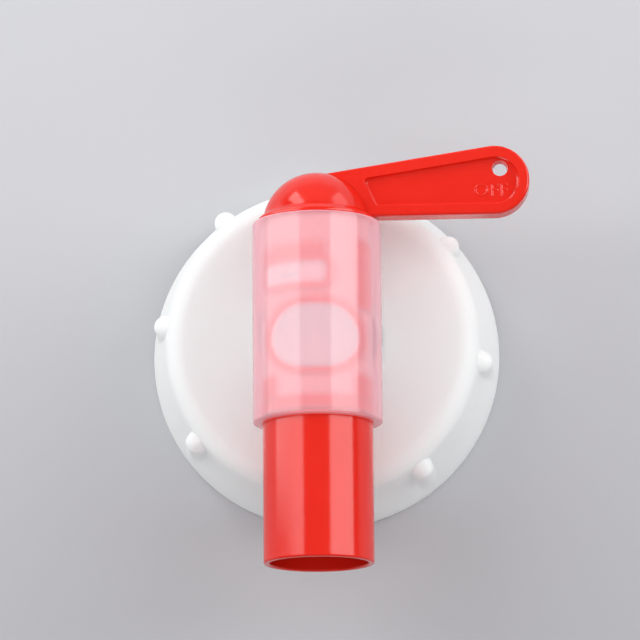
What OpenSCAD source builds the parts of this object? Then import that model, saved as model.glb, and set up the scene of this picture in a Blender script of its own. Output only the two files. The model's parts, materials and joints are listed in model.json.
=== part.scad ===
// Jerrycan tap in millimetres: a screw cap that turns on a tap body, and a hollow rotor
// with lever and spout that turns inside the body's sleeve. The cap's open rim lies on
// Z = 0 with its axis along +Z, the spout points along -Y and the shut lever along +X.

/* [Screw cap] */
// Outer diameter of the open rim
cap_rim_d = 72; // [70:0.5:80]
// Height of the cap from rim to end face
cap_h = 19.2; // [18:0.1:24]
// Thickness of the end face
cap_face_t = 2; // [1.5:0.1:2.5]
// Wall of the skirt beside the thread, at its top
skirt_wall = 1.75; // [1.4:0.05:2.2]
// Radius of the rounded shoulder
shoulder_r = 4.2; // [3:0.1:4.8]
// Height of the tapered lead inside the rim
lead_in_h = 4.8; // [4:0.1:5]
// Height of the straight land at the rim
rim_land = 1.2; // [0.6:0.1:2]
// Wall at the rim
rim_wall = 2; // [1.5:0.1:2.4]

/* [Grip lugs] */
// Number of grip lugs round the skirt
lug_count = 8; // [4:1:12]
// Radius of a lug's round nose
lug_r = 2.3; // [1.8:0.1:2.6]
// How far a lug's nose stands out from the thread's wall
lug_reach = 4.25; // [3.8:0.05:4.8]
// Drop from the end face to the middle of a lug's round top
lug_drop = 6.7; // [6:0.1:8]
// Turn of the cap's lugs about its axis, in degrees
lug_phase = -7.5; // [-22.5:0.5:22.5]

/* [Neck thread] */
// Major diameter of the cap's thread
thread_d = 61.5; // [60.5:0.1:63]
// Depth of the thread ridges
thread_depth = 1.3; // [0.8:0.1:1.6]
// Pitch of the thread
thread_pitch = 4; // [3:0.1:4.5]
// Height of the middle of the first ridge above the rim
thread_start = 6.3; // [6:0.1:7]
// Interrupted ridges in one turn
thread_gaps = 8; // [6:1:12]
// Ridges in all
thread_ridges = 11; // [8:1:11]
// Angle that one ridge spans, in degrees
ridge_span = 36; // [20:1:38]
// Width of a ridge at its root
ridge_root_w = 2.2; // [1.6:0.1:2.6]
// Width of a ridge at its crest
ridge_crest_w = 0.9; // [0.5:0.1:1.4]

/* [Tap body] */
// Outer diameter of the sleeve
sleeve_d = 25.9; // [25:0.1:28]
// Bore of the sleeve
sleeve_bore_d = 22.2; // [21.6:0.1:22.8]
// Length of the sleeve above the cap's axis
sleeve_up = 20.45; // [18:0.05:24]
// Length of the sleeve below the cap's axis
sleeve_down = 20.3; // [19:0.1:24]
// Gap between the cap's end face and the sleeve
sleeve_gap = 2.8; // [2:0.1:5]
// Outer diameter of the neck where it passes the cap
neck_d = 23.2; // [22.4:0.1:24]
// Bore of the neck
neck_bore_d = 19.4; // [16:0.1:20]
// Width of the collar that the neck has above the cap
collar_step = 0.9; // [0.6:0.1:1.2]
// How far the snap bead at the neck's end stands out
neck_bead = 0.5; // [0.3:0.05:0.7]
// Height of that bead
neck_bead_h = 0.9; // [0.6:0.1:1.2]
// Height of the tapered lead below the bead
neck_lead_h = 0.7; // [0.5:0.1:1]

/* [Inlet flange and gasket] */
// Outer diameter of the inlet flange
flange_d = 57; // [54:0.5:58]
// Thickness of the inlet flange
flange_t = 2; // [1.6:0.1:2.2]
// Depth of the flange's hub below the flange
hub_depth = 0.8; // [0.5:0.1:1.2]
// Wall of the hub
hub_wall = 2; // [1.4:0.1:3]
// Inner diameter of the neck gasket
gasket_bore_d = 46; // [40:0.5:48]
// Thickness of the neck gasket
gasket_t = 2.2; // [1.5:0.1:2.4]

/* [Rotor barrel and spout] */
// Diameter of the barrel between its seal ribs
barrel_d = 20.8; // [20.4:0.1:21.2]
// Bore of the barrel inside the sleeve
barrel_bore_d = 17.6; // [16:0.1:18]
// Width of a seal rib
rib_w = 1.5; // [1:0.1:2]
// Outer diameter of the spout
spout_d = 22; // [21.4:0.1:22]
// Wall of the spout
spout_wall = 1.25; // [1:0.05:1.8]
// Distance from the cap's axis to the spout's mouth
spout_reach = 48.5; // [40:0.5:70]
// How far the snap bead stands into the sleeve's groove
snap_h = 0.3; // [0.2:0.05:0.5]
// Width of the snap bead
snap_w = 2.4; // [1.6:0.1:3]
// Distance from the sleeve's lower end to the snap bead
snap_up = 1.3; // [1:0.1:2]

/* [Ports] */
// Drop of the liquid port's centre below the cap's axis
port_drop = 4.4; // [3.8:0.1:4.8]
// Width of the seal round the liquid port
port_w = 19.6; // [17:0.1:20]
// Height of the seal round the liquid port
port_h = 15.6; // [13:0.1:15.8]
// Rise of the air slot's centre above the cap's axis
air_rise = 8.4; // [8.2:0.1:9.5]
// Height of the seal round the air slot
air_h = 7.2; // [6:0.1:7.4]
// Where the air slot's round right end has its centre
air_right = 1.2; // [0:0.1:3]
// Where the air slot's round left end has its centre
air_left = -6; // [-6.5:0.1:-4]
// Where the air seal's round left end has its centre
air_seal_left = -7.4; // [-7.4:0.1:-6.5]
// Step from a port's seal in to the port's own edge
port_edge = 0.7; // [0.4:0.1:1]
// Angle of the guide rib from the front, in degrees
guide_angle = 67; // [64:1:72]
// Width of the guide rib
guide_w = 6.4; // [4:0.1:7]
// Lower end of the guide rib above the cap's axis
guide_low = 1.6; // [0:0.1:4]
// Upper end of the guide rib above the cap's axis
guide_high = 15.5; // [12:0.1:17]

/* [Air divider] */
// Thickness of the wall between the air and liquid channels
divider_t = 1.2; // [1:0.1:1.6]
// Distance of that wall behind the barrel's axis
divider_back = 3; // [2:0.1:4]
// Set-back of the wall from the spout's mouth
divider_inset = 6; // [4:0.5:12]

/* [Head and dome] */
// Outer diameter of the rotor's head flange
head_d = 23.5; // [22.8:0.1:25]
// Height of the head flange at its edge
head_edge_h = 0.8; // [0.5:0.1:1.4]
// Height of the bevel from the flange up to the dome
head_bevel_h = 0.9; // [0.4:0.1:1.2]
// Radius of the dome
dome_r = 10.85; // [10.6:0.05:11.4]
// Drop of the dome's centre below the sleeve's top
dome_sink = 0.45; // [0.2:0.05:1]
// Wall of the dome
dome_wall = 2; // [1.5:0.1:2.2]

/* [Lever] */
// Reach of the lever's tip from the rotor's axis
lever_reach = 42.95; // [36:0.05:55]
// Radius of the lever's round tip
lever_tip_r = 7.05; // [6.5:0.05:8]
// Slope of the lever's upper edge, in degrees
lever_slope = 8.6; // [6:0.1:10]
// Gap between the sleeve's top and the lever's lower edge
lever_gap = 0.95; // [0.6:0.05:1.2]
// Thickness of the lever at its border
lever_t = 4.8; // [4:0.1:6]
// Thickness of the lever's recessed web
web_t = 2.2; // [1.6:0.1:3]
// Border under the recess and round its tip
border_low = 2.05; // [1.5:0.05:2.6]
// Border above the recess
border_top = 2.4; // [1.6:0.05:3]
// Distance from the rotor's axis to the recess, at its lower edge
recess_root = 12.1; // [11.5:0.1:15]
// Lean of the recess's root edge, in degrees
recess_lean = 25; // [10:1:30]
// Diameter of the eye in the lever's tip
eye_d = 3.2; // [2:0.1:4]
// Distance of the eye beyond the tip's centre, along the lever
eye_out = 1.15; // [0:0.05:2]
// Height of the eye above the tip's centre
eye_up = 2.6; // [1:0.05:3]

/* [Clearances] */
// Running clearance where the cap turns on the tap body
turn_gap = 0.3; // [0.2:0.05:0.5]
// Running clearance between seal ribs and sleeve
seal_gap = 0.06; // [0.04:0.01:0.1]
// Clearance round the snap bead in its groove
snap_gap = 0.12; // [0.1:0.01:0.2]
// Clearance of the hub on the neck
hub_gap = 0.05; // [0.02:0.01:0.1]
// Gap between the rotor's head and the sleeve's top
head_gap = 0.1; // [0.05:0.01:0.3]

/* [Hidden] */
$fn = 96;
// Overlap that makes joined shapes one solid, and reach of cuts past a face
bond = 0.4;
past = 1;

rim_r = cap_rim_d / 2;
thread_r = thread_d / 2;
crest_r = thread_r - thread_depth;
seat_r = flange_d / 2 + 2 * turn_gap;
face_under = cap_h - cap_face_t;

// Skirt: a cone from the rim's land up to the shoulder's arc, which is tangent to it
skirt_top = [thread_r + skirt_wall, cap_h - shoulder_r];
skirt_draft = atan((rim_r - skirt_top[0]) / (skirt_top[1] - rim_land));
shoulder_c = skirt_top - [shoulder_r / cos(skirt_draft), 0];

lug_c_r = thread_r + lug_reach - lug_r;
lug_top = cap_h - lug_drop;

// Neck and flange stack, from the cap's end face down
axis_h = cap_h + sleeve_gap + sleeve_d / 2;
neck_r = neck_d / 2;
flange_top = face_under - turn_gap;
flange_low = flange_top - flange_t;
hub_low = flange_low - hub_depth;
bead_top = hub_low - hub_gap;
bead_low = bead_top - neck_bead_h;
neck_end = bead_low - neck_lead_h;
thread_top = flange_low - gasket_t;

// Rotor radii and stations along its axis, measured from the cap's axis
bore_r = sleeve_bore_d / 2;
rib_r = bore_r - seal_gap;
barrel_r = barrel_d / 2;
spout_r = spout_d / 2;
spout_top = -sleeve_down - turn_gap;
snap_low = -sleeve_down + snap_up;
snap_top = snap_low + snap_w;
head_low = sleeve_up + head_gap;
head_mid = head_low + head_edge_h;
head_top = head_mid + head_bevel_h;
dome_c = sleeve_up - dome_sink;
head_top_r = sqrt(pow(dome_r, 2) - pow(head_top - dome_c, 2));
port_top = -port_drop + port_h / 2;

// Lever outline, with y along the rotor's axis
lever_low = sleeve_up + lever_gap;
tip_c = [lever_reach - lever_tip_r, lever_low + lever_tip_r];
tip_tangent = tip_c + lever_tip_r * [-sin(lever_slope), cos(lever_slope)];
lever_root_top = tip_tangent[1] - tip_tangent[0] * tan(lever_slope);
// Recess tip: a circle that keeps its borders to the lower edge, the upper edge and the tip
recess_tip_r = (sin(lever_slope) * (lever_tip_r - border_low)
    + cos(lever_slope) * (lever_tip_r - border_low) + lever_tip_r - border_top)
    / (1 + sin(lever_slope) + cos(lever_slope));
recess_low = lever_low + border_low;
recess_c = [lever_reach - border_low - recess_tip_r, recess_low + recess_tip_r];
recess_tangent = recess_c + recess_tip_r * [-sin(lever_slope), cos(lever_slope)];
recess_d = (lever_t - web_t) / 2;
// Where the recess's leaning root edge meets its upper edge
recess_rise = (recess_tangent[1] - recess_low - (recess_tangent[0] - recess_root) * tan(lever_slope))
    / (1 + tan(recess_lean) * tan(lever_slope));
recess_corner = [recess_root - recess_rise * tan(recess_lean), recess_low + recess_rise];

// Puts shapes drawn round local Z on the rotor's axis, with local Z along +Y
module on_tap_axis() {
    translate([0, 0, axis_h]) rotate([-90, 0, 0]) children();
}

// Puts flat shapes drawn in the plane of the cap on the rotor's mid plane
module on_mid_plane() {
    translate([0, 0, axis_h]) children();
}

// Flat shape with round ends, from one end centre to the other
module oblong(left, right, r) {
    translate([left, 0]) circle(r);
    translate([right, 0]) circle(r);
    translate([left, -r]) square([right - left, 2 * r]);
}

// A tube wall round local Z
module tube(r_out, r_in, low, high) {
    difference() {
        translate([0, 0, low]) cylinder(r = r_out, h = high - low);
        translate([0, 0, low - past]) cylinder(r = r_in, h = high - low + 2 * past);
    }
}

// Screw cap
module cap_outline() {
    tangent = shoulder_c + shoulder_r * [cos(skirt_draft), sin(skirt_draft)];
    polygon([[0, 0], [rim_r, 0], [rim_r, rim_land], tangent, shoulder_c, [shoulder_c[0], cap_h],
        [0, cap_h]]);
    translate(shoulder_c) circle(shoulder_r);
}

module cap_hollow() {
    rotate_extrude() polygon([[0, -past], [rim_r - rim_wall, -past], [rim_r - rim_wall, 0],
        [thread_r, lead_in_h], [thread_r, thread_top], [seat_r, thread_top + thread_r - seat_r],
        [seat_r, face_under], [0, face_under]]);
}

module grip_lugs() {
    for (i = [0 : lug_count - 1])
        rotate([0, 0, lug_phase + i * 360 / lug_count]) translate([lug_c_r, 0, 0]) {
            cylinder(r = lug_r, h = lug_top);
            translate([0, 0, lug_top]) sphere(lug_r);
        }
}

// Half the width of a ridge where its flanks pass a radius
function ridge_half(r) = ridge_crest_w / 2
    + (r - crest_r) * (ridge_root_w - ridge_crest_w) / (2 * thread_depth);

module thread_ridge() {
    outer = thread_r + bond;
    inner = crest_r - bond / 4;
    rotate([0, 0, -ridge_span / 2]) rotate_extrude(angle = ridge_span)
        polygon([[outer, -ridge_half(outer)], [outer, ridge_half(outer)],
            [inner, ridge_half(inner)], [inner, -ridge_half(inner)]]);
}

module neck_thread() {
    lead = atan(thread_pitch / (2 * PI * thread_r));
    difference() {
        for (i = [0 : thread_ridges - 1])
            rotate([0, 0, i * 360 / thread_gaps])
                translate([0, 0, thread_start + i * thread_pitch / thread_gaps])
                    rotate([lead, 0, 0]) thread_ridge();
        cylinder(r = crest_r, h = cap_h);
    }
}

module screw_cap() {
    color("whitesmoke") union() {
        difference() {
            union() {
                rotate_extrude() cap_outline();
                grip_lugs();
            }
            cap_hollow();
            cylinder(r = neck_r + turn_gap, h = cap_h + past);
        }
        neck_thread();
    }
}

// Tap body
module neck_outline() {
    collar_low = cap_h + turn_gap;
    polygon([[0, neck_end], [neck_r - neck_bead, neck_end], [neck_r + neck_bead, bead_low],
        [neck_r + neck_bead, bead_top], [neck_r, bead_top], [neck_r, collar_low],
        [neck_r + collar_step, collar_low], [neck_r + collar_step, axis_h], [0, axis_h]]);
}

module tap_body() {
    color([0.97, 0.9, 0.9, 0.7]) difference() {
        union() {
            on_tap_axis() translate([0, 0, -sleeve_down])
                cylinder(d = sleeve_d, h = sleeve_up + sleeve_down);
            rotate_extrude() neck_outline();
        }
        on_tap_axis() translate([0, 0, -sleeve_down - past])
            cylinder(r = bore_r, h = sleeve_up + sleeve_down + 2 * past);
        on_tap_axis() translate([0, 0, snap_low - snap_gap])
            cylinder(r = bore_r + snap_h + snap_gap, h = snap_w + 2 * snap_gap);
        translate([0, 0, neck_end - past]) cylinder(d = neck_bore_d, h = axis_h - neck_end + past);
    }
}

// Inlet flange and gasket
module inlet_flange() {
    color("ghostwhite") difference() {
        union() {
            translate([0, 0, flange_low]) cylinder(d = flange_d, h = flange_t);
            translate([0, 0, hub_low]) cylinder(r = neck_r + hub_gap + hub_wall, h = hub_depth + bond);
        }
        translate([0, 0, hub_low - past])
            cylinder(r = neck_r + hub_gap, h = hub_depth + flange_t + 2 * past);
    }
}

module neck_gasket() {
    color("gainsboro") tube(flange_d / 2, gasket_bore_d / 2, thread_top, flange_low);
}

// Rotor
module rotor_outline() {
    polygon([[0, -spout_reach], [spout_r, -spout_reach], [spout_r, spout_top], [barrel_r, spout_top],
        [barrel_r, snap_low], [bore_r + snap_h, snap_low], [bore_r + snap_h, snap_top],
        [barrel_r, snap_top], [barrel_r, head_low], [head_d / 2, head_low], [head_d / 2, head_mid],
        [head_top_r, head_top], [0, head_top]]);
}

module dome() {
    difference() {
        translate([0, 0, dome_c]) sphere(dome_r);
        translate([-2 * dome_r, -2 * dome_r, dome_c - 2 * dome_r])
            cube([4 * dome_r, 4 * dome_r, head_mid - dome_c + 2 * dome_r]);
    }
}

module barrel_hollow() {
    barrel_bore_r = barrel_bore_d / 2;
    spout_bore_r = spout_r - spout_wall;
    rotate_extrude() polygon([[0, -spout_reach - past], [spout_bore_r, -spout_reach - past],
        [spout_bore_r, spout_top], [barrel_bore_r, spout_top + spout_bore_r - barrel_bore_r],
        [barrel_bore_r, dome_c], [0, dome_c]]);
    translate([0, 0, dome_c]) sphere(min(barrel_bore_r, dome_r - dome_wall));
}

// Front half of a flat shape's prism, which cuts or marks the barrel's front wall
module through_front() {
    on_mid_plane() linear_extrude(sleeve_d) children();
}

module port_shape(shrink) {
    translate([0, -port_drop])
        oblong((port_h - port_w) / 2, (port_w - port_h) / 2, port_h / 2 - shrink);
}

module air_shape(left, shrink) {
    translate([0, air_rise]) oblong(left, air_right, air_h / 2 - shrink);
}

module seal_ribs() {
    intersection() {
        on_tap_axis() tube(rib_r, barrel_r - bond, snap_top, sleeve_up - past);
        union() {
            through_front() difference() {
                port_shape(0);
                port_shape(rib_w);
            }
            through_front() difference() {
                air_shape(air_seal_left, 0);
                air_shape(air_seal_left, rib_w);
            }
            on_tap_axis() rotate([0, 0, guide_angle - 90]) translate([0, -guide_w / 2, guide_low])
                cube([bore_r, guide_w, guide_high - guide_low]);
        }
    }
}

// Wall behind the barrel's axis and a shelf over the liquid channel
module air_divider() {
    shelf = port_top + port_edge;
    intersection() {
        on_tap_axis() translate([0, 0, -spout_reach])
            cylinder(r = spout_r - spout_wall + bond / 2, h = spout_reach + sleeve_up);
        union() {
            translate([-spout_d, divider_inset - spout_reach, axis_h - divider_back - divider_t])
                cube([2 * spout_d, shelf + spout_reach - divider_inset, divider_t]);
            translate([-spout_d, shelf - divider_t, axis_h - divider_back - divider_t])
                cube([2 * spout_d, divider_t, spout_d]);
        }
    }
}

module lever_flat() {
    translate(tip_c) circle(lever_tip_r);
    polygon([[0, lever_low], [tip_c[0], lever_low], tip_c, tip_tangent, [0, lever_root_top]]);
}

module recess_flat() {
    translate(recess_c) circle(recess_tip_r);
    polygon([[recess_root, recess_low], [recess_c[0], recess_low], recess_c, recess_tangent,
        recess_corner]);
}

module lever() {
    difference() {
        linear_extrude(lever_t, center = true) lever_flat();
        for (side = [0, 1]) mirror([0, 0, side])
            translate([0, 0, web_t / 2]) linear_extrude(recess_d + past) recess_flat();
        translate(concat(tip_c + [eye_out, eye_up], -lever_t))
            cylinder(d = eye_d, h = 2 * lever_t);
    }
}

module rotor() {
    color([0.9, 0.13, 0.1]) union() {
        difference() {
            union() {
                on_tap_axis() rotate_extrude() rotor_outline();
                on_tap_axis() dome();
                on_mid_plane() lever();
                seal_ribs();
            }
            on_tap_axis() barrel_hollow();
            through_front() port_shape(rib_w + port_edge);
            through_front() air_shape(air_left, rib_w + port_edge);
        }
        air_divider();
    }
}

screw_cap();
tap_body();
inlet_flange();
neck_gasket();
rotor();
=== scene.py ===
# %% [markdown]
# # Dressing a jerrycan tap
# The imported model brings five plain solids: a screw cap, a tap body with a sleeve, a flange, a gasket
# and a red rotor with lever and spout. This lesson gives each one its moulded form and its finish. It
# could work on the solids' own triangles, but those have no rounded edges, so every piece is built
# again on the same sizes, in the same place, and stands in for its solid.

# %% Load the frame
import json
import math

import bmesh
import bpy
import numpy as np
from mathutils import Matrix, Vector


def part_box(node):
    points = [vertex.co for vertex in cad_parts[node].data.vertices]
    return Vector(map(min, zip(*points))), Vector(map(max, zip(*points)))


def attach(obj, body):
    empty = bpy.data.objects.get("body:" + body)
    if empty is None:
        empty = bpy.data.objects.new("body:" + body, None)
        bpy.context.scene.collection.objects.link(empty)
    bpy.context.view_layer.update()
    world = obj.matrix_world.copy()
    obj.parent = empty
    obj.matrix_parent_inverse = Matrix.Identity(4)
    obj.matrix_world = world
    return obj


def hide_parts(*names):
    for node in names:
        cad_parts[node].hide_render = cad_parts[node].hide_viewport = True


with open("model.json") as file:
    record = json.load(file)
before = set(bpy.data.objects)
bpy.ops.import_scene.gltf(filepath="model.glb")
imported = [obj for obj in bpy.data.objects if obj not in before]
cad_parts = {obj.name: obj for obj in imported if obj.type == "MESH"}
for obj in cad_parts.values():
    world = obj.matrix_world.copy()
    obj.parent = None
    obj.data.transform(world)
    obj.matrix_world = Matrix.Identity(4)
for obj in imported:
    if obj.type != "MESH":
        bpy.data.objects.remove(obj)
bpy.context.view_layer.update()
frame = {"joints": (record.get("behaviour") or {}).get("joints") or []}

# %% [markdown]
# ## Sizes
# The main sizes come from the frame, so that the dress follows the solids: boxes of the nodes, and the
# height of the lever's hinge, which is the axis of the whole tap. Sizes of the tap are millimetres,
# and a mesh is turned into metres at the moment it becomes an object. Floor and lamps are in metres.

# %% Main sizes from the frame
MM = 0.001


def node_box(node):
    """Lowest and highest corner of a CAD node, in millimetres."""
    low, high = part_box(node)
    return low / MM, high / MM


def joint_height(name):
    """Height of a joint's axis, in millimetres."""
    joint = next(j for j in frame["joints"] if j["name"] == name)
    return joint["pos_m"][2] / MM


cap_high = node_box("screw_cap")[1]
body_low, body_high = node_box("tap_body")
flange_low, flange_high = node_box("inlet_flange")
gasket_low, gasket_high = node_box("neck_gasket")
rotor_low, rotor_high = node_box("rotor")
axis_h = joint_height("lever_turn")
print("tap axis", axis_h, "rim radius", round(cap_high.x, 2), "lever reach", round(rotor_high.x, 2))

# %% [markdown]
# ## Camera
# The photograph looks down on the tap from far away. Three angles, a shift and a distance were fitted
# to it once, and they are written here as they came out. A long lens keeps the outlines nearly
# parallel, as the photograph does.

# %% Camera
CAMERA_TILT = math.radians(11.987)
CAMERA_SIDE = math.radians(3.044)
CAMERA_ROLL = math.radians(-0.462)
CAMERA_SHIFT = (1.398, -8.007)
CAMERA_DISTANCE = 834.34
CAMERA_LENS = 225.0
CAMERA_SENSOR = 36.0
CAMERA_NEAR = 0.01


def add_object(name, data):
    """Puts a camera, mesh, curve or light into the scene as an object."""
    thing = bpy.data.objects.new(name, data)
    bpy.context.scene.collection.objects.link(thing)
    return thing


def add_camera():
    """Puts the camera where the photograph was taken from."""
    back = Vector((math.sin(CAMERA_SIDE), -math.sin(CAMERA_TILT) * math.cos(CAMERA_SIDE),
                   math.cos(CAMERA_TILT) * math.cos(CAMERA_SIDE)))
    level_right = Vector((0, 1, 0)).cross(back).normalized()
    level_up = back.cross(level_right)
    right = math.cos(CAMERA_ROLL) * level_right + math.sin(CAMERA_ROLL) * level_up
    up = math.cos(CAMERA_ROLL) * level_up - math.sin(CAMERA_ROLL) * level_right
    place = CAMERA_DISTANCE * back - CAMERA_SHIFT[0] * right - CAMERA_SHIFT[1] * up
    data = bpy.data.cameras.new("camera")
    data.lens = CAMERA_LENS
    data.sensor_width = CAMERA_SENSOR
    data.clip_start = CAMERA_NEAR
    camera = add_object("camera", data)
    turn = Matrix((right, up, back)).transposed().to_4x4()
    camera.matrix_world = Matrix.Translation(place * MM) @ turn
    bpy.context.scene.camera = camera
    return camera


camera = add_camera()
print("camera height", round(camera.matrix_world.translation.z, 3), "m")

# %% [markdown]
# ## Tools for round shapes
# Nearly every piece is turned about an axis, so one helper rounds the corners of a section and another
# spins it. Spinning by hand, ring by ring, gives clean quads and closed poles, which the Spin operator
# doesn't promise.

# %% Rounded sections
TURN = 2 * math.pi
CORNER_STEPS = 6


def arc(centre, radius, start, end, steps):
    """Points on a circle from one angle to another, in degrees."""
    angles = np.radians(np.linspace(start, end, steps + 1))
    return [(centre[0] + radius * math.cos(a), centre[1] + radius * math.sin(a)) for a in angles]


def rounded(corners, steps=CORNER_STEPS):
    """Closed outline from corners (x, y, corner radius), with each corner turned into an arc."""
    outline = []
    for i, (x, y, radius) in enumerate(corners):
        here = Vector((x, y))
        if radius == 0:
            outline.append((x, y))
            continue
        before = (Vector(corners[i - 1][:2]) - here).normalized()
        after = (Vector(corners[(i + 1) % len(corners)][:2]) - here).normalized()
        half = before.angle(after) / 2
        centre = here + (before + after).normalized() * radius / math.sin(half)
        first = here + before * radius / math.tan(half) - centre
        last = here + after * radius / math.tan(half) - centre
        start = math.degrees(math.atan2(first.y, first.x))
        sweep = (math.degrees(math.atan2(last.y, last.x)) - start + 180) % 360 - 180
        outline += arc(centre, radius, start, start + sweep, steps)
    return outline


def split_long(outline, longest):
    """The same closed outline with extra points on stretches longer than a limit."""
    dense = []
    for i, (x, y) in enumerate(outline):
        next_x, next_y = outline[(i + 1) % len(outline)]
        pieces = max(1, math.ceil(math.hypot(next_x - x, next_y - y) / longest))
        dense += [(x + (next_x - x) * k / pieces, y + (next_y - y) * k / pieces) for k in range(pieces)]
    return dense


# %% From points to an object
MERGE_DISTANCE = 1e-7


def clean(mesh):
    """Merges a mesh's doubles, drops its slivers and turns its faces outwards."""
    work = bmesh.new()
    work.from_mesh(mesh)
    bmesh.ops.remove_doubles(work, verts=work.verts, dist=MERGE_DISTANCE)
    bmesh.ops.dissolve_degenerate(work, edges=work.edges, dist=MERGE_DISTANCE)
    bmesh.ops.recalc_face_normals(work, faces=work.faces)
    work.to_mesh(mesh)
    work.free()


def make_object(name, verts, faces):
    """A clean mesh object in metres from points in millimetres."""
    mesh = bpy.data.meshes.new(name)
    mesh.from_pydata([Vector(v) * MM for v in verts], [], faces)
    clean(mesh)
    return add_object(name, mesh)


def grid_faces(rings, columns, closed):
    """Quads between neighbouring rings of vertices; a closed grid joins the last ring to the first."""
    faces = []
    for i in range(rings if closed else rings - 1):
        low, high = i * columns, (i + 1) % rings * columns
        for k in range(columns):
            m = (k + 1) % columns
            faces.append((low + k, low + m, high + m, high + k))
    return faces


def loft(name, loops, closed=False):
    """A solid from loops of points, which close to a ring or are capped at both ends."""
    verts = [point for loop in loops for point in loop]
    columns = len(loops[0])
    faces = grid_faces(len(loops), columns, closed)
    if not closed:
        faces += [tuple(range(columns)), tuple(range(len(verts) - columns, len(verts)))]
    return make_object(name, verts, faces)


# %% Spinning a section
COLUMNS = 192


def about_cap_axis(r, h, turn):
    """A point of a section that is spun about the cap's axis."""
    return (r * math.cos(turn), r * math.sin(turn), h)


def about_tap_axis(r, h, turn):
    """A point of a section that is spun about the tap's axis."""
    return (r * math.sin(turn), h, axis_h + r * math.cos(turn))


def spin(name, section, place, columns=COLUMNS):
    """A closed section spun all the way round."""
    loops = [[place(r, h, TURN * k / columns) for k in range(columns)] for r, h in section]
    return loft(name, loops, True)


# %% Joining and cutting
SHARP_ANGLE = math.radians(27)


def baked_mesh(thing):
    """The mesh that an object's modifiers or its curve make."""
    ready = thing.evaluated_get(bpy.context.evaluated_depsgraph_get())
    return bpy.data.meshes.new_from_object(ready)


def bake(piece):
    """Replaces a piece's mesh by what its modifiers make of it."""
    mesh = baked_mesh(piece)
    piece.modifiers.clear()
    piece.data = mesh
    return piece


def combine(piece, others, operation):
    """Unites a piece with others or cuts them out of it, and removes the others."""
    for other in others:
        modifier = piece.modifiers.new(operation.lower(), "BOOLEAN")
        modifier.operation = operation
        modifier.solver = "MANIFOLD"
        modifier.object = other
    bake(piece)
    for other in others:
        bpy.data.objects.remove(other)
    return piece


def smooth(piece, crisp=None):
    """Smooth shading that keeps sharp edges and every edge in a crisp box, led by the larger faces."""
    mesh = piece.data
    mesh.shade_smooth()
    mesh.set_sharp_from_angle(angle=SHARP_ANGLE)
    if crisp:
        low, high = crisp
        inside = [all(low[i] < v.co[i] / MM < high[i] for i in range(3)) for v in mesh.vertices]
        for edge in mesh.edges:
            edge.use_edge_sharp |= inside[edge.vertices[0]] and inside[edge.vertices[1]]
    modifier = piece.modifiers.new("normals", "WEIGHTED_NORMAL")
    modifier.keep_sharp = True
    return bake(piece)


def report(piece):
    """Prints a piece's count of triangles and whether it is closed."""
    work = bmesh.new()
    work.from_mesh(piece.data)
    loose = sum(1 for edge in work.edges if len(edge.link_faces) != 2)
    triangles = sum(len(face.verts) - 2 for face in work.faces)
    work.free()
    print(piece.name, "triangles", triangles, "open edges", loose)


# %% [markdown]
# ## Screw cap
# The cap is moulded from natural polyethylene: a drafted skirt, a soft shoulder and eight grip lugs
# that grow out of the skirt and end in a round nose, which leans in along the shoulder. Lugs could be
# united with the skirt as cylinders, but then they would meet it in hard creases. Here the outside is
# one grid of columns and rows, and each point takes the smooth maximum of skirt and lug, so the lugs
# melt into the wall.

# %% Section of the cap
RIM_LAND = 1.2
RIM_W = 2.0
RIM_ROUND = 0.7
SHOULDER_R = 4.2
SHOULDER_STEPS = 14
SKIRT_TOP_R = 32.5
FACE_T = 2.0
HOLE_R = 11.9
SEAT_R = 29.1
THREAD_R = 30.75
LEAD_IN_TOP = 4.8
ROW_STEP = 0.5
FACE_MARGIN = 0.01
rim_r = cap_high.x
cap_h = cap_high.z
face_under = cap_h - FACE_T
skirt_top_h = cap_h - SHOULDER_R
skirt_draft = math.atan((rim_r - SKIRT_TOP_R) / (skirt_top_h - RIM_LAND))
shoulder = (SKIRT_TOP_R - SHOULDER_R / math.cos(skirt_draft), skirt_top_h)


def cap_section():
    """Closed section of the cap, from the rim up the outside and back down the inside."""
    round_top = arc(shoulder, SHOULDER_R, math.degrees(skirt_draft), 90, SHOULDER_STEPS)
    corners = [(rim_r - RIM_W, 0, 0.6), (rim_r, 0, RIM_ROUND), (rim_r, RIM_LAND, 2.5)]
    corners += [(r, h, 0) for r, h in round_top]
    corners += [(HOLE_R, cap_h, 0.4), (HOLE_R, face_under, 0.3), (SEAT_R, face_under, 0.4),
                (SEAT_R, gasket_low.z + THREAD_R - SEAT_R, 0.3), (THREAD_R, gasket_low.z, 0.3),
                (THREAD_R, LEAD_IN_TOP, 0.8)]
    outline = split_long(rounded(corners), ROW_STEP)
    start = min(range(len(outline)), key=lambda i: math.dist(outline[i], (rim_r - RIM_ROUND, 0)))
    return outline[start:] + outline[:start]


print("skirt draft", round(math.degrees(skirt_draft), 1), "degrees, section", len(cap_section()), "points")


# %% Grip lugs on the skirt
LUGS = 8
LUG_PHASE = math.radians(-7.5)
LUG_R = 2.3
LUG_CENTRE = 32.7
LUG_TOP = 14.4
LUG_BLEND = 1.6
LUG_LEAN = 0.2
LUG_FALL = 6.0
LUG_COLUMNS = 40
GAP_COLUMNS = 16
LUG_REACH = math.radians(6.5)


def cap_columns():
    """Angles of the grid's columns, close together at the lugs."""
    angles = []
    gap = TURN / LUGS - 2 * LUG_REACH
    for i in range(LUGS):
        middle = LUG_PHASE + TURN * i / LUGS
        angles += [middle + LUG_REACH * (2 * k / LUG_COLUMNS - 1) for k in range(LUG_COLUMNS)]
        angles += [middle + LUG_REACH + gap * k / GAP_COLUMNS for k in range(GAP_COLUMNS)]
    return np.array(angles)


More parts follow.
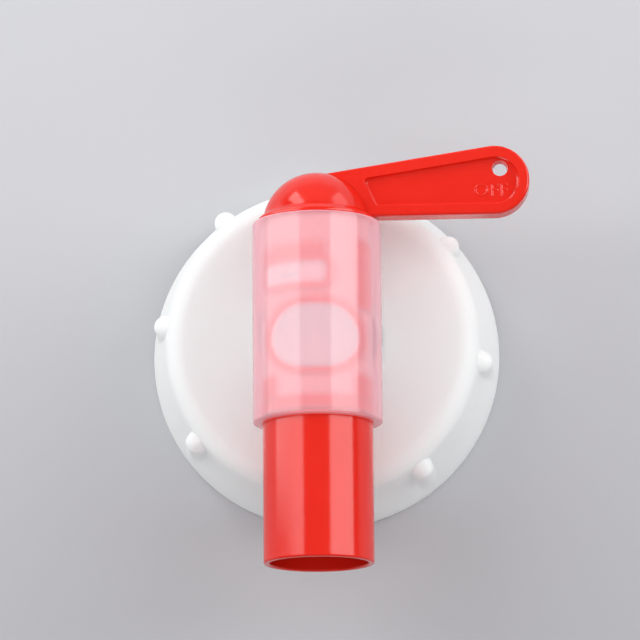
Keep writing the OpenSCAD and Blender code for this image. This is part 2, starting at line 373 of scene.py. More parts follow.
def lug_radius(angles, height, wall):
    """How far the lugs reach at a height, for every column; they lean in along the shoulder's wall."""
    pitch = TURN / LUGS
    centre = min(LUG_CENTRE, wall + LUG_LEAN)
    away = (angles - LUG_PHASE + pitch / 2) % pitch - pitch / 2
    side = np.abs(centre * np.sin(away))
    rise = max(0.0, height - LUG_TOP)
    width = math.sqrt(max(0.0, LUG_R ** 2 - rise ** 2))
    # Beyond its flanks a lug falls away steeply, so that the wall takes over there.
    beyond = np.maximum(0.0, side - width) + max(0.0, rise - LUG_R)
    nose = np.sqrt(np.maximum(0.0, width ** 2 - side ** 2))
    return centre * np.cos(away) + nose - LUG_FALL * beyond


def smooth_max(a, b, blend):
    """The larger of two radii, with a fillet where they meet."""
    near = np.maximum(blend - np.abs(a - b), 0) / blend
    return np.maximum(a, b) + near ** 3 * blend / 6


def make_cap():
    """The cap as one grid, with the lugs on its outer rows."""
    angles = cap_columns()
    section = cap_section()
    outer_rows = next(i for i, (r, h) in enumerate(section) if h > cap_h - FACE_MARGIN)
    loops = []
    for i, (r, h) in enumerate(section):
        radii = np.full(len(angles), r)
        if i < outer_rows and h > RIM_LAND:
            radii = smooth_max(radii, lug_radius(angles, h, r), LUG_BLEND)
        loops.append([about_cap_axis(radius, h, turn) for radius, turn in zip(radii, angles)])
    return loft("cap", loops, True)


cap = smooth(make_cap())
report(cap)

# %% [markdown]
# ## Neck thread
# Inside the cap, eleven short ridges follow a right-hand helix, as on caps that are stripped off the
# mould by force. One ridge is swept along its stretch of the helix, and a small Geometry Nodes tree
# puts copies of it on points that climb by the pitch. The tree has named inputs, so the thread can be
# changed without touching the mesh.

# %% One ridge
RIDGES = 11
RIDGES_PER_TURN = 8
RIDGE_SPAN = math.radians(36)
PITCH = 4.0
FIRST_RIDGE = 6.3
CREST_R = 29.45
CREST_HALF = 0.45
CREST_ROUND = 0.12
CREST_STEPS = 3
RIDGE_ROOT_HALF = 1.1
RIDGE_SUNK = 0.3
RIDGE_STEPS = 24
RIDGE_ENDS = 0.12


def make_ridge():
    """One ridge, swept along its stretch of the helix and let into the wall at both ends."""
    slope = (RIDGE_ROOT_HALF - CREST_HALF) / (THREAD_R - CREST_R)
    root = THREAD_R + RIDGE_SUNK
    root_half = CREST_HALF + slope * (root - CREST_R)
    end_r = THREAD_R + RIDGE_SUNK / 2
    loops = []
    for k in range(RIDGE_STEPS + 1):
        share = k / RIDGE_STEPS
        turn = (share - 0.5) * RIDGE_SPAN
        end = min(1.0, min(share, 1 - share) / RIDGE_ENDS)
        crest = end_r - (end_r - CREST_R) * math.sin(end * math.pi / 2)
        crest_half = CREST_HALF + slope * (crest - CREST_R)
        section = rounded([(root, -root_half, 0), (root, root_half, 0), (crest, crest_half, CREST_ROUND),
                           (crest, -crest_half, CREST_ROUND)], CREST_STEPS)
        loops.append([about_cap_axis(r, h + PITCH * turn / TURN, turn) for r, h in section])
    return loft("ridge", loops)


print("thread", RIDGES, "ridges, pitch", PITCH, "mm")


# %% Nodes for a tree
def add_node(tree, kind, **settings):
    """Adds a node to a tree and sets its plain properties."""
    node = tree.nodes.new(kind)
    for name, value in settings.items():
        setattr(node, name, value)
    return node


def link(value, node, socket):
    """Links a value to a node's socket, by the socket's name or place."""
    node.id_data.links.new(value, node.inputs[socket])


def add_math(tree, operation, *inputs):
    """The value of a Math node with its inputs linked or set, in order."""
    node = add_node(tree, "ShaderNodeMath", operation=operation)
    for socket, value in zip(node.inputs, inputs):
        if isinstance(value, (int, float)):
            socket.default_value = value
        else:
            tree.links.new(value, socket)
    return node.outputs["Value"]


# %% Ridges along the helix
HELIX_INPUTS = {"Ridge": "Object", "Count": "Int", "Step angle": "Float", "Step height": "Float",
                "First height": "Float", "Material": "Material"}


def helix_tree():
    """Geometry Nodes that put copies of a ridge along a helix about the cap's axis."""
    tree = bpy.data.node_groups.new("ridges along a helix", "GeometryNodeTree")
    for name, kind in HELIX_INPUTS.items():
        tree.interface.new_socket(name, in_out="INPUT", socket_type="NodeSocket" + kind)
    tree.interface.new_socket("Geometry", in_out="OUTPUT", socket_type="NodeSocketGeometry")
    given = add_node(tree, "NodeGroupInput").outputs
    index = add_node(tree, "GeometryNodeInputIndex").outputs["Index"]
    climb = add_math(tree, "MULTIPLY_ADD", index, given["Step height"], given["First height"])
    turned = add_math(tree, "MULTIPLY", index, given["Step angle"])
    place = add_node(tree, "ShaderNodeCombineXYZ")
    turn = add_node(tree, "ShaderNodeCombineXYZ")
    rotation = add_node(tree, "FunctionNodeEulerToRotation")
    points = add_node(tree, "GeometryNodePoints")
    source = add_node(tree, "GeometryNodeObjectInfo")
    copies = add_node(tree, "GeometryNodeInstanceOnPoints")
    realize = add_node(tree, "GeometryNodeRealizeInstances")
    paint = add_node(tree, "GeometryNodeSetMaterial")
    result = add_node(tree, "NodeGroupOutput")
    links = [(climb, place, "Z"), (turned, turn, "Z"), (turn.outputs["Vector"], rotation, "Euler"),
             (given["Count"], points, "Count"), (place.outputs["Vector"], points, "Position"),
             (given["Ridge"], source, "Object"), (points.outputs[0], copies, "Points"),
             (source.outputs["Geometry"], copies, "Instance"),
             (rotation.outputs["Rotation"], copies, "Rotation"),
             (copies.outputs["Instances"], realize, "Geometry"),
             (realize.outputs["Geometry"], paint, "Geometry"), (given["Material"], paint, "Material"),
             (paint.outputs["Geometry"], result, "Geometry")]
    for row in links:
        link(*row)
    return tree


def make_thread(material):
    """All ridges of the thread as one plain mesh."""
    ridge = make_ridge()
    thread = make_object("neck_thread", [], [])
    modifier = thread.modifiers.new("helix", "NODES")
    modifier.node_group = helix_tree()
    values = {"Ridge": ridge, "Count": RIDGES, "Step angle": TURN / RIDGES_PER_TURN,
              "Step height": PITCH / RIDGES_PER_TURN * MM, "First height": FIRST_RIDGE * MM,
              "Material": material}
    for item in modifier.node_group.interface.items_tree:
        if item.in_out == "INPUT":
            modifier[item.identifier] = values[item.name]
    bake(thread)
    bpy.data.objects.remove(ridge)
    return smooth(thread)


# %% [markdown]
# ## Tap body
# The sleeve and the neck below it are one moulding. The neck could be a plain cylinder pushed into the
# sleeve, but a mould leaves a fillet there. So the neck's wall is a grid whose upper rows swing out
# along a ball that rolls between neck and sleeve, and the sleeve is united with it afterwards. The
# bores are cut last, with flared mouths.

# %% Neck with a fillet under the sleeve
SLEEVE_R = 12.95
BORE_R = 11.1
NECK_R = 11.6
NECK_LEAD = 0.5
NECK_BORE_R = 9.7
COLLAR_R = 12.5
COLLAR_LOW = cap_h + 0.3
COLLAR_TOP = COLLAR_LOW + 1.0
BEAD_R = 12.1
BEAD_LOW = 13.15
BEAD_TOP = 14.05
FILLET_R = 1.6
FILLET_STEPS = 8
FILLET_SUNK = 1.2
BODY_COLUMNS = 240
sleeve_low = body_low.y
sleeve_high = body_high.y
neck_low = body_low.z


def fillet_column(turn):
    """Points of one column of the neck, from the collar's wall out along the fillet into the sleeve."""
    out = Vector((math.cos(turn), math.sin(turn), 0))
    across = COLLAR_R * out.x
    meet = Vector((across, COLLAR_R * out.y, axis_h - math.sqrt(SLEEVE_R ** 2 - across ** 2)))
    off_sleeve = Vector((meet.x, 0, meet.z - axis_h)) / SLEEVE_R
    ball = meet + FILLET_R * (out + off_sleeve) / (1 + out.dot(off_sleeve))
    column = []
    for k in range(FILLET_STEPS + 1):
        share = k / FILLET_STEPS
        inward = -(out * (1 - share) + off_sleeve * share).normalized()
        column.append(ball + FILLET_R * inward)
    inside = meet - FILLET_SUNK * (out + off_sleeve).normalized()
    return column + [inside]


def make_neck():
    """The neck as a closed solid, with its snap bead, collar and fillet."""
    lower = rounded([(0, neck_low, 0), (NECK_R - NECK_LEAD, neck_low, 0.2), (BEAD_R, BEAD_LOW, 0.3),
                     (BEAD_R, BEAD_TOP, 0.2), (NECK_R, BEAD_TOP, 0.1), (NECK_R, COLLAR_LOW, 0.1),
                     (COLLAR_R, COLLAR_LOW, 0.3), (COLLAR_R, COLLAR_TOP, 0)])
    turns = [TURN * k / BODY_COLUMNS for k in range(BODY_COLUMNS)]
    loops = [[about_cap_axis(r, h, turn) for turn in turns] for r, h in lower]
    loops += zip(*[fillet_column(turn) for turn in turns])
    loops.append([(0, 0, axis_h)] * BODY_COLUMNS)
    return loft("neck", loops, True)


print("sleeve from", round(sleeve_low, 2), "to", round(sleeve_high, 2), "mm along the tap")


# %% Sleeve and bores
SNAP_GROOVE_R = 11.52
SNAP_GROOVE_LOW = -19.12
SNAP_GROOVE_HIGH = -16.48
MOUTH_ROUND = 0.45
BORE_FLARE = 0.12
WELL_FLARE = 0.3
WELL_FLARE_H = 0.5
PAST = 2.0


def make_bore():
    """The cutter for the sleeve's bore, with flared mouths and the snap groove."""
    mouth_r = BORE_R + BORE_FLARE
    half = rounded([(0, sleeve_low - PAST, 0), (mouth_r, sleeve_low - PAST, 0),
                    (mouth_r, sleeve_low, 0), (BORE_R, sleeve_low + BORE_FLARE, 0.1),
                    (BORE_R, SNAP_GROOVE_LOW, 0.15), (SNAP_GROOVE_R, SNAP_GROOVE_LOW, 0.15),
                    (SNAP_GROOVE_R, SNAP_GROOVE_HIGH, 0.15), (BORE_R, SNAP_GROOVE_HIGH, 0.15),
                    (BORE_R, sleeve_high - BORE_FLARE, 0.1), (mouth_r, sleeve_high, 0),
                    (mouth_r, sleeve_high + PAST, 0), (0, sleeve_high + PAST, 0)])
    return spin("bore", half, about_tap_axis, BODY_COLUMNS)


def make_tap_body():
    """Sleeve and neck in one piece, bored through both ways."""
    outside = rounded([(0, sleeve_low, 0), (SLEEVE_R, sleeve_low, MOUTH_ROUND),
                       (SLEEVE_R, sleeve_high, MOUTH_ROUND), (0, sleeve_high, 0)])
    sleeve = spin("tap_body_frosted", outside, about_tap_axis, BODY_COLUMNS)
    well = rounded([(0, neck_low - PAST, 0), (NECK_BORE_R + WELL_FLARE, neck_low - PAST, 0),
                    (NECK_BORE_R + WELL_FLARE, neck_low, 0), (NECK_BORE_R, neck_low + WELL_FLARE_H, 0.3),
                    (NECK_BORE_R, axis_h, 0), (0, axis_h, 0)])
    neck_bore = spin("neck_bore", well, about_cap_axis, BODY_COLUMNS)
    combine(sleeve, [make_neck()], "UNION")
    return combine(sleeve, [make_bore(), neck_bore], "DIFFERENCE")


tap_body = smooth(make_tap_body())
report(tap_body)

# %% [markdown]
# ## Inlet flange and gasket
# Both are hidden inside the cap and show only from below: a snapped-on disc with a short hub, and a
# soft ring that the jerrycan's neck presses on. They are spun sections. The gasket gets two round
# sealing beads on its free face, as moulded gaskets have.

# %% Flange and gasket
HUB_R = 13.65
HUB_BORE_R = 11.65
FLANGE_T = 2.0
GASKET_BORE_R = 23.0
GASKET_ROUND = 0.35
GASKET_SIDE = 0.6
BEAD_H = 0.35
BEAD_STEPS = 40
BEAD_ZONE = (0.1, 0.9)
BEAD_FULLNESS = 0.7


def make_flange():
    """The inlet flange with its hub."""
    low = flange_high.z - FLANGE_T
    section = rounded([(HUB_BORE_R, flange_low.z, 0.2), (HUB_R, flange_low.z, 0.25), (HUB_R, low, 0.3),
                       (flange_high.x, low, 0.3), (flange_high.x, flange_high.z, 0.4),
                       (HUB_BORE_R, flange_high.z, 0.3)])
    return spin("inlet_flange_disc", section, about_cap_axis)


def make_gasket():
    """The gasket, with two sealing beads towards the jerrycan's neck."""
    wide = gasket_high.x - GASKET_BORE_R - 2 * GASKET_ROUND
    low = gasket_low.z
    face = []
    for k in range(BEAD_STEPS + 1):
        share = k / BEAD_STEPS
        wave = max(0.0, math.sin(share * 2 * TURN)) if BEAD_ZONE[0] < share < BEAD_ZONE[1] else 0.0
        h = low + BEAD_H * (1 - wave ** BEAD_FULLNESS)
        face.append((GASKET_BORE_R + GASKET_ROUND + share * wide, h, 0))
    section = face + [(gasket_high.x, low + GASKET_SIDE, 0.2), (gasket_high.x, gasket_high.z, GASKET_ROUND),
                      (GASKET_BORE_R, gasket_high.z, GASKET_ROUND), (GASKET_BORE_R, low + GASKET_SIDE, 0.2)]
    return spin("gasket_ring", rounded(section), about_cap_axis)


flange = smooth(make_flange())
gasket = smooth(make_gasket())
report(flange)
report(gasket)

# %% [markdown]
# ## Rotor
# The rotor is one red moulding: spout, barrel with seal ribs and pads, ports, a divider for the air, a
# domed head and the lever. It is spun as a hollow shell, and then ribs, pads, divider and lever are
# united with it. The ports come last, because they are cut through the wall.

# %% Shell of the rotor
BARREL_R = 10.4
BARREL_BORE_R = 8.8
SPOUT_R = 11.0
SPOUT_BORE_R = 9.75
SPOUT_TOP = sleeve_low + 0.8
SNAP_R = 11.4
SNAP_LOW = -19.0
SNAP_HIGH = -16.6
HEAD_R = 11.75
HEAD_LOW = sleeve_high + 0.1
HEAD_MID = HEAD_LOW + 0.8
HEAD_TOP = HEAD_MID + 0.9
DOME_R = 10.85
DOME_C = sleeve_high - 0.45
DOME_STEPS = 40
CROWN_STEPS = 30
ROTOR_COLUMNS = 240
spout_end = rotor_low.y


def make_shell():
    """The hollow body of the rotor, from the dome's top down the outside and back up the inside."""
    dome_low = math.degrees(math.asin((HEAD_TOP - DOME_C) / DOME_R))
    outside = [(r, h, 0) for r, h in arc((0, DOME_C), DOME_R, 90, dome_low, DOME_STEPS)[:-1]]
    outside += [(DOME_R * math.cos(math.radians(dome_low)), HEAD_TOP, 0.35), (HEAD_R, HEAD_MID, 0.5),
                (HEAD_R, HEAD_LOW, 0.3), (BARREL_R, HEAD_LOW, 0.1), (BARREL_R, SNAP_HIGH, 0.1),
                (SNAP_R, SNAP_HIGH, 0.3), (SNAP_R, SNAP_LOW, 0.5), (BARREL_R, SNAP_LOW, 0.1),
                (BARREL_R, SPOUT_TOP, 0.1), (SPOUT_R, SPOUT_TOP, 0.3), (SPOUT_R, spout_end, 0.4)]
    inside = [(SPOUT_BORE_R, spout_end, 0.45), (SPOUT_BORE_R, SPOUT_TOP, 0.3),
              (BARREL_BORE_R, SPOUT_TOP + SPOUT_BORE_R - BARREL_BORE_R, 0.3)]
    inside += [(r, h, 0) for r, h in arc((0, DOME_C), BARREL_BORE_R, 0, 90, CROWN_STEPS)]
    return spin("rotor_red", rounded(outside + inside), about_tap_axis, ROTOR_COLUMNS)


print("spout", round(SPOUT_TOP - spout_end, 1), "mm long")


# %% Seal ribs on the barrel
RIB_BASE_R = BARREL_R - 0.3
RIB_W = 1.5
RIB_ROUND = 0.35
RIB_STEPS = 4
PORT_RIB_R = 10.82
PORT_ENDS = (-2.0, 2.0)
PORT_C = -4.4
PORT_R = 7.8
AIR_RIB_R = 10.7
AIR_ENDS = (-7.4, 0.9)
AIR_C = 8.4
AIR_R = 3.6
END_STEPS = 48
OBLONG_STEP = 0.6
SIDE_LIFT = 0.01


def oblong(ends, middle, radius):
    """Outline with round ends, as points that go round once."""
    right_end = arc((ends[1], middle), radius, -90, 90, END_STEPS)
    left_end = arc((ends[0], middle), radius, 90, 270, END_STEPS)
    return split_long(right_end + left_end, OBLONG_STEP)


def on_barrel(x, y, r):
    """A point of the barrel's front, above a flat place, at a radius."""
    return (x, y, axis_h + math.sqrt(max(r * r - x * x, SIDE_LIFT)))


def make_seal(name, ends, middle, radius, top):
    """A rib that follows an oblong on the barrel, with a rounded top at a radius."""
    section = rounded([(0, RIB_BASE_R, 0), (0, top, RIB_ROUND), (RIB_W, top, RIB_ROUND),
                       (RIB_W, RIB_BASE_R, 0)], RIB_STEPS)
    loops = [[on_barrel(x, y, r) for x, y in oblong(ends, middle, radius - inset)]
             for inset, r in section]
    return loft(name, loops, True)


# %% Pads on the barrel
PAD_R = 11.04
PAD_TURNS = (45, 95)
PAD_SPAN = (-16.4, -11.8)
GUIDE_TURNS = (50, 84)
GUIDE_SPAN = (1.6, 15.5)
AIR_PAD_TURNS = (-88, 14)
AIR_PAD_SPAN = (11.0, 14.6)
STEPS_ACROSS = 20
STEPS_ALONG = 4


def pad_profile(length, steps):
    """Places along a pad with the drop of its top there: round at both ends, level between."""
    angles = np.radians(np.linspace(0, 90, RIB_STEPS + 1))
    ends = [(RIB_ROUND * (1 - math.cos(a)), RIB_ROUND * (1 - math.sin(a))) for a in angles]
    level = [(RIB_ROUND + (length - 2 * RIB_ROUND) * k / steps, 0.0) for k in range(1, steps)]
    return ends + level + [(length - place, drop) for place, drop in reversed(ends)]


def make_pad(name, turns, span, crown=PAD_R, base=RIB_BASE_R):
    """A low pad on the barrel between two angles, two places along the axis and two radii."""
    first = math.radians(turns[0])
    across = pad_profile(math.radians(turns[1] - turns[0]) * PAD_R, STEPS_ACROSS)
    rows = pad_profile(span[1] - span[0], STEPS_ALONG)
    loops = []
    for along, end_drop in rows:
        top = [(crown - max(drop, end_drop), first + place / PAD_R) for place, drop in across]
        under = [(base, turn) for r, turn in reversed(top)]
        loops.append([about_tap_axis(r, span[0] + along, turn) for r, turn in top + under])
    return loft(name, loops)


# %% Walls inside the rotor
DIVIDER_T = 1.2
DIVIDER_TOP = -3.0
DIVIDER_END = spout_end + 6.0
SHELF_TOP = PORT_C + PORT_R + 0.7
WALL_REACH = 9.3
CUT_REACH = 20.0
CUT_HALF = 3.0


def make_block(name, low, high):
    """A plain block between two corners."""
    verts = [(x, y, z) for x in (low[0], high[0]) for y in (low[1], high[1]) for z in (low[2], high[2])]
    faces = [(0, 1, 3, 2), (4, 6, 7, 5), (0, 4, 5, 1), (2, 3, 7, 6), (0, 2, 6, 4), (1, 5, 7, 3)]
    return make_object(name, verts, faces)


def make_divider():
    """The wall that keeps a channel for the air behind the liquid, and the shelf that closes it."""
    wall = make_block("divider", (-WALL_REACH, DIVIDER_END, axis_h + DIVIDER_TOP - DIVIDER_T),
                      (WALL_REACH, SHELF_TOP, axis_h + DIVIDER_TOP))
    disc = [(0, SHELF_TOP - DIVIDER_T), (WALL_REACH, SHELF_TOP - DIVIDER_T), (WALL_REACH, SHELF_TOP),
            (0, SHELF_TOP)]
    shelf = spin("shelf", disc, about_tap_axis, ROTOR_COLUMNS)
    under = make_block("under", (-CUT_REACH, SHELF_TOP - CUT_HALF, axis_h - CUT_REACH),
                       (CUT_REACH, SHELF_TOP + CUT_HALF, axis_h + DIVIDER_TOP - DIVIDER_T / 2))
    combine(shelf, [under], "DIFFERENCE")
    return combine(wall, [shelf], "UNION")


# %% [markdown]
# ## Lever
# The lever is a flag with a thick border round a thinner web, an eye near the tip, the word OFF in
# raised letters in front and ON at the back. Its outline is drawn once. A helper stacks inset copies
# of an outline at given heights, which makes plates with rounded edges and cutters with fillets from
# the same few lines.

# %% Stacked outlines
SHARPEST = 0.5


def inset_outline(outline, inset):
    """An outline moved inwards by a distance, with points kept in step."""
    points = np.array(outline)
    ahead = np.roll(points, -1, 0) - points
    ahead /= np.linalg.norm(ahead, axis=1)[:, None]
    behind = np.roll(ahead, 1, 0)
    normal = np.stack([-(ahead + behind)[:, 1], (ahead + behind)[:, 0]], 1)
    normal /= np.linalg.norm(normal, axis=1)[:, None]
    spread = np.clip((normal * np.stack([-ahead[:, 1], ahead[:, 0]], 1)).sum(1), SHARPEST, 1)
    return points + normal * inset / spread[:, None]


def stack(name, outline, rows):
    """A closed solid from an outline that goes round to the left, with rows of (inset, height)."""
    return loft(name, [[(x, y, axis_h + h) for x, y in inset_outline(outline, inset)] for inset, h in rows])


# %% Outlines of the lever
LEVER_LOW = sleeve_high + 0.95
TIP_R = 7.05
LEVER_SLOPE = math.radians(8.6)
LEVER_HALF = 2.4
WEB_HALF = 1.1
LEVER_START = 1.5
BORDER_LOW = 2.05
BORDER_TOP = 2.4
RECESS_ROOT = 12.1
RECESS_ROUND = 0.9
RECESS_LEAN = math.radians(25)
TIP_STEPS = 60
tip_c = (rotor_high.x - TIP_R, LEVER_LOW + TIP_R)
slope_deg = math.degrees(LEVER_SLOPE)


def upper_edge(centre, radius, x):
    """Height at x of the sloping edge that is tangent to a tip circle."""
    rise = radius / math.cos(LEVER_SLOPE)
    return centre[1] + rise - (centre[0] - x) * math.tan(LEVER_SLOPE)


def lever_outline():
    """The lever's outline, from under the dome along the lower edge, round the tip and back."""
    corners = [(LEVER_START, LEVER_LOW)] + arc(tip_c, TIP_R, -90, 90 + slope_deg, TIP_STEPS)
    return corners + [(LEVER_START, upper_edge(tip_c, TIP_R, LEVER_START))]


def recess_outline():
    """The recess's outline: it keeps its borders to the lever's edges."""
    low = LEVER_LOW + BORDER_LOW
    tilt = math.sin(LEVER_SLOPE) + math.cos(LEVER_SLOPE)
    radius = (tilt * (TIP_R - BORDER_LOW) + TIP_R - BORDER_TOP) / (1 + tilt)
    centre = (rotor_high.x - BORDER_LOW - radius, low + radius)
    rise = upper_edge(centre, radius, RECESS_ROOT) - low
    rise /= 1 + math.tan(RECESS_LEAN) * math.tan(LEVER_SLOPE)
    corner = (RECESS_ROOT - rise * math.tan(RECESS_LEAN), low + rise, RECESS_ROUND)
    tip = [(x, y, 0) for x, y in arc(centre, radius, -90, 90 + slope_deg, TIP_STEPS)]
    return rounded([corner, (RECESS_ROOT, low, RECESS_ROUND)] + tip)


print("lever outline", len(lever_outline()), "points, recess", len(recess_outline()), "points")


# %% Lever plate
EDGE_ROUND = 0.55
EDGE_STEPS = 5
FLOOR_FILLET = 0.7
RECESS_LIP = 0.14
LIP_STEPS = 4
LIP_PROUD = 0.02
EYE = (37.05, 31.05)
EYE_R = 1.6
EYE_TAPER = 0.24
EYE_LIP = 0.12
EYE_COLUMNS = 48


def make_recess(side):
    """The cutter for the recess on one side, with a fillet at its floor and a rounded lip."""
    rows = arc((FLOOR_FILLET, WEB_HALF + FLOOR_FILLET), FLOOR_FILLET, -90, -180, EDGE_STEPS)
    lip = LEVER_HALF - RECESS_LIP + LIP_PROUD
    rows += arc((-RECESS_LIP, lip), RECESS_LIP, 0, 90, LIP_STEPS)
    rows += [(-RECESS_LIP, LEVER_HALF + PAST)]
    return stack("recess", recess_outline(), [(inset, side * h) for inset, h in rows])


def make_eye():
    """The cutter for the eye, which tapers towards the back and has a small lip at both faces."""
    circle = arc(EYE, EYE_R, 0, 360, EYE_COLUMNS)[:-1]
    back = EYE_TAPER - EYE_LIP
    rows = [(back, -WEB_HALF - PAST), (back, -WEB_HALF), (EYE_TAPER, -WEB_HALF + EYE_LIP),
            (0, WEB_HALF - EYE_LIP), (-EYE_LIP, WEB_HALF), (-EYE_LIP, WEB_HALF + PAST)]
    return stack("eye", circle, rows)


def make_lever():
    """The lever's plate with its two recesses and its eye."""
    rows = arc((EDGE_ROUND, -LEVER_HALF + EDGE_ROUND), EDGE_ROUND, -90, -180, EDGE_STEPS)
    rows += arc((EDGE_ROUND, LEVER_HALF - EDGE_ROUND), EDGE_ROUND, 180, 90, EDGE_STEPS)
    plate = stack("lever", lever_outline(), rows)
    return combine(plate, [make_recess(1), make_recess(-1), make_eye()], "DIFFERENCE")


# %% Raised letters
LETTER_H = 2.55
CAPITAL_SHARE = 0.7
LETTER_SPACING = 1.12
LETTER_SLOPE_W = 0.16
LETTER_FLAT = 0.6
LETTER_SUNK = 0.4
LETTER_THIN = 0.1
OFF_PLACE = (35.2, 26.4)
WORD_ROOM = Vector((4.4, 1.8, WEB_HALF + 0.3))


def make_word(name, word, place, side):
    """A word in raised letters with sloping sides, on the front or the back of the lever's web."""
    curve = bpy.data.curves.new(name, "FONT")
    curve.body = word
    curve.align_x = "CENTER"
    curve.align_y = "CENTER"
    curve.size = LETTER_H / CAPITAL_SHARE
    curve.extrude = LETTER_SUNK
    curve.bevel_depth = LETTER_SLOPE_W
    curve.bevel_resolution = 0
    curve.offset = -LETTER_THIN
    curve.space_character = LETTER_SPACING
    text = add_object(name, curve)
    mesh = baked_mesh(text)
    bpy.data.objects.remove(text)
    lift = WEB_HALF - LETTER_FLAT * LETTER_SUNK
    face = Matrix.Rotation(0 if side > 0 else math.pi, 4, "Y")
    there = Matrix.Translation(Vector((place[0], place[1], axis_h + side * lift)) * MM)
    mesh.transform(there @ face @ Matrix.Diagonal((MM, MM, LETTER_FLAT * MM, 1)))
    clean(mesh)
    return add_object(name, mesh)


# %% The whole rotor
PORT_INSET = 1.6
PORT_DEPTH = 2.0
SLOT_ENDS = (-6.4, -3.6)
SLOT_R = 0.5
POCKET_TURNS = (-60, 10.5)
POCKET_SPAN = (6.55, 10.25)
POCKET_FLOOR_R = 9.7


def make_port(name, ends, middle, radius):
    """The cutter for a port through the barrel's front wall, down to a depth above the axis."""
    return stack(name, oblong(ends, middle, radius), [(0, PORT_DEPTH), (0, SLEEVE_R)])


def make_rotor():
    """Shell, ribs, pads, walls, lever and letters united, and the ports and the air pocket cut."""
    shell = make_shell()
    added = [make_seal("port_seal", PORT_ENDS, PORT_C, PORT_R, PORT_RIB_R),
             make_seal("air_seal", AIR_ENDS, AIR_C, AIR_R, AIR_RIB_R),
             make_pad("air_pad", AIR_PAD_TURNS, AIR_PAD_SPAN, AIR_RIB_R),
             make_pad("guide", GUIDE_TURNS, GUIDE_SPAN),
             make_pad("right_pad", PAD_TURNS, PAD_SPAN),
             make_pad("left_pad", (-PAD_TURNS[1], -PAD_TURNS[0]), PAD_SPAN),
             make_divider(),
             make_lever(),
             make_word("word_off", "OFF", OFF_PLACE, 1),
             make_word("word_on", "ON", OFF_PLACE, -1)]
    combine(shell, added, "UNION")
    ports = [make_port("port", PORT_ENDS, PORT_C, PORT_R - PORT_INSET),
             make_pad("air_pocket", POCKET_TURNS, POCKET_SPAN, SLEEVE_R, POCKET_FLOOR_R),
             make_port("air_slot", SLOT_ENDS, AIR_C, SLOT_R)]
    return combine(shell, ports, "DIFFERENCE")


word_middle = Vector((*OFF_PLACE, axis_h))
rotor = smooth(make_rotor(), (word_middle - WORD_ROOM, word_middle + WORD_ROOM))
report(rotor)

# %% [markdown]
# ## Finishes
# All pieces are moulded. Each material starts from a Principled shader with its plain values on the
# shader's own sockets. Noise on Object coordinates then varies colour and roughness a little and gives
# the skin its fine ripple.

# %% Nodes for a material
def new_material(name):
    """An empty node material with a Principled shader and an output."""
    material = bpy.data.materials.new(name)
    material.use_nodes = True
    material.node_tree.nodes.clear()
    tree = material.node_tree
    shader = add_node(tree, "ShaderNodeBsdfPrincipled")
    output = add_node(tree, "ShaderNodeOutputMaterial")
    link(shader.outputs["BSDF"], output, "Surface")
    return material, tree, shader, output


def set_sockets(node, values):
    """Sets a node's own sockets by name."""
    for name, value in values.items():
        node.inputs[name].default_value = value


def add_noise(tree, scale, detail):
    """Noise on Object coordinates, with its scale in waves per metre."""
    where = add_node(tree, "ShaderNodeTexCoord")
    noise = add_node(tree, "ShaderNodeTexNoise")
    set_sockets(noise, {"Scale": scale, "Detail": detail})
    link(where.outputs["Object"], noise, "Vector")
    return noise


def add_ramp(tree, source, stops):
    """A colour ramp with stops of (place, colour)."""
    ramp = add_node(tree, "ShaderNodeValToRGB")
    for i, (place, colour) in enumerate(stops):
        stop = ramp.color_ramp.elements[i] if i < 2 else ramp.color_ramp.elements.new(place)
        stop.position = place
        stop.color = (*colour, 1)
    link(source, ramp, "Fac")
    return ramp


def add_span(tree, source, start, end, low, high, ends="SMOOTHSTEP"):
    """Maps a range of values to another one, with soft ends unless others are asked for."""
    span = add_node(tree, "ShaderNodeMapRange", interpolation_type=ends)
    set_sockets(span, {"From Min": start, "From Max": end, "To Min": low, "To Max": high})
    link(source, span, "Value")
    return span.outputs["Result"]


# %% A moulded plastic
CLOUD_SCALE = 70.0
CLOUD_DETAIL = 3.0
CLOUD_STOPS = (0.35, 0.65)
GRAIN_SCALE = 900.0
GRAIN_DETAIL = 4.0
GRAIN_STOPS = (0.3, 0.7)
RIPPLE_SCALE = 260.0
RIPPLE_DETAIL = 2.0


def add_roughness(tree, shader, rough, scale=GRAIN_SCALE):
    """Lets a shader's roughness wander through a range, in a fine grain."""
    grain = add_noise(tree, scale, GRAIN_DETAIL)
    roughness = add_span(tree, grain.outputs["Fac"], *GRAIN_STOPS, *rough, "LINEAR")
    link(roughness, shader, "Roughness")


def add_ripple(tree, shader, height, scale):
    """Gives a shader a rippled skin, with the height in millimetres."""
    wave = add_noise(tree, scale, RIPPLE_DETAIL)
    bump = add_node(tree, "ShaderNodeBump")
    set_sockets(bump, {"Distance": height * MM, "Strength": 1.0})
    link(wave.outputs["Fac"], bump, "Height")
    link(bump.outputs["Normal"], shader, "Normal")


def moulded(name, dark, light, rough, skin, ripple=RIPPLE_SCALE):
    """A moulded plastic: two close colours, a range of roughness and a fine ripple of its skin."""
    material, tree, shader, output = new_material(name)
    cloud = add_noise(tree, CLOUD_SCALE, CLOUD_DETAIL)
    colour = add_ramp(tree, cloud.outputs["Fac"], list(zip(CLOUD_STOPS, (dark, light))))
    link(colour.outputs["Color"], shader, "Base Color")
    add_roughness(tree, shader, rough)
    add_ripple(tree, shader, skin, ripple)
    return material, tree, shader, output


# %% Materials
CAP_SCATTER = 3.5
PLASTIC_IOR = 1.5


